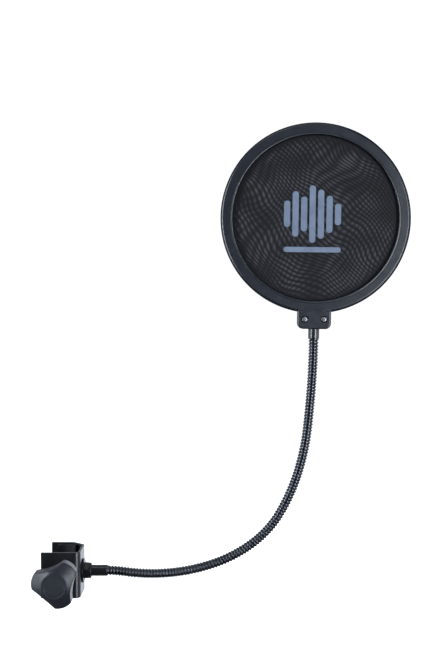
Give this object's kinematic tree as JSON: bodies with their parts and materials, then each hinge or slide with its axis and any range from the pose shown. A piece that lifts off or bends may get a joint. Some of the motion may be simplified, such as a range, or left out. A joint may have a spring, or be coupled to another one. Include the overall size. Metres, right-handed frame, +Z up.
{
  "type": "gooseneck pop filter",
  "caption": "Round mesh pop filter on a flexible gooseneck, with a screw clamp that grips the tube of a microphone stand.",
  "frame": {"origin": "on the axis of the stand tube that the clamp grips, half-way up the clamp bracket", "axes": "+Z up the stand tube, +X from the clamp towards the gooseneck, -Y towards the knob and the front of the screen"},
  "size_m": [0.3127, 0.0732, 0.3978],
  "materials": {
    "bracket_coat": "satin black powder coat",
    "liner_rubber": "matt black rubber",
    "dark_hardware": "black-finished steel, semi-gloss",
    "ferrule_black": "black lacquered steel, semi-gloss",
    "neck_black": "black coated wound steel, semi-gloss, ribbed",
    "pad_rubber": "matt black rubber",
    "zinc_steel": "bright zinc plate",
    "knob_plastic": "finely grained black plastic",
    "cap_plastic": "finely grained black plastic",
    "insert_brass": "bare brass",
    "hoop_plastic": "satin black plastic",
    "spacer_plastic": "black plastic",
    "mesh_nylon": "fine black nylon mesh",
    "screw_steel": "bright nickel plate"
  },
  "bodies": {
    "clamp": {"clamp_bracket": "bracket_coat", "jaw_liner": "liner_rubber", "screw_bush": "dark_hardware", "mount_stud": "dark_hardware", "inner_nut": "dark_hardware", "stud_washer": "dark_hardware", "outer_nut": "dark_hardware", "ferrule_collar": "dark_hardware", "lower_ferrule": "ferrule_black", "neck_stub": "neck_black"},
    "pad": {"pressure_pad": "pad_rubber", "pad_cup": "zinc_steel"},
    "screw": {"clamp_screw": "zinc_steel", "knob": "knob_plastic", "knob_cap": "cap_plastic", "knob_insert": "insert_brass"},
    "link_1": {"neck_link_1": "neck_black"},
    "link_2": {"neck_link_2": "neck_black"},
    "link_3": {"neck_link_3": "neck_black"},
    "link_4": {"neck_link_4": "neck_black"},
    "link_5": {"neck_link_5": "neck_black"},
    "link_6": {"neck_link_6": "neck_black"},
    "link_7": {"neck_link_7": "neck_black"},
    "head": {"neck_link_8": "neck_black", "upper_ferrule": "ferrule_black", "stem_tongue": "zinc_steel", "front_hoop": "hoop_plastic", "rear_hoop": "hoop_plastic", "spacer_ring": "spacer_plastic", "front_mesh": "mesh_nylon", "rear_mesh": "mesh_nylon", "tab_screw_left": "screw_steel", "tab_screw_right": "screw_steel", "tab_nut_left": "screw_steel", "tab_nut_right": "screw_steel"}
  },
  "joints": [
    {"name": "pad_slide", "type": "slide", "parent": "clamp", "child": "pad", "axis": [0, 1, 0], "range_m": [-0.0065, 0.008]},
    {"name": "knob_turn", "type": "hinge", "parent": "pad", "child": "screw", "pos_m": [0, -0.04, 0], "axis": [0, 1, 0], "range_deg": [-2345, 2885]},
    {"name": "neck_bend_1", "type": "hinge", "parent": "clamp", "child": "link_1", "pos_m": [0.05274, -0.0085, -0.00124], "axis": [0, -1, 0], "range_deg": [-20, 20]},
    {"name": "neck_bend_2", "type": "hinge", "parent": "link_1", "child": "link_2", "pos_m": [0.09012, -0.0085, -0.00205], "axis": [-0.0906, 0, 0.9959], "range_deg": [-20, 20]},
    {"name": "neck_bend_3", "type": "hinge", "parent": "link_2", "child": "link_3", "pos_m": [0.12671, -0.0085, 0.00565], "axis": [0, -1, 0], "range_deg": [-20, 20]},
    {"name": "neck_bend_4", "type": "hinge", "parent": "link_3", "child": "link_4", "pos_m": [0.15979, -0.0085, 0.02291], "axis": [-0.5948, 0, 0.8039], "range_deg": [-20, 20]},
    {"name": "neck_bend_5", "type": "hinge", "parent": "link_4", "child": "link_5", "pos_m": [0.18446, -0.0085, 0.05075], "axis": [0, -1, 0], "range_deg": [-20, 20]},
    {"name": "neck_bend_6", "type": "hinge", "parent": "link_5", "child": "link_6", "pos_m": [0.19923, -0.0085, 0.08511], "axis": [-0.9568, 0, 0.2907], "range_deg": [-20, 20]},
    {"name": "neck_bend_7", "type": "hinge", "parent": "link_6", "child": "link_7", "pos_m": [0.20675, -0.0085, 0.12176], "axis": [0, -1, 0], "range_deg": [-20, 20]},
    {"name": "neck_bend_8", "type": "hinge", "parent": "link_7", "child": "head", "pos_m": [0.21014, -0.0085, 0.15907], "axis": [-0.9974, 0, 0.0715], "range_deg": [-20, 20]}
  ],
  "couplings": [
    {"joint": "knob_turn", "follows": "pad_slide", "rad_per_m": 6283.2}
  ]
}
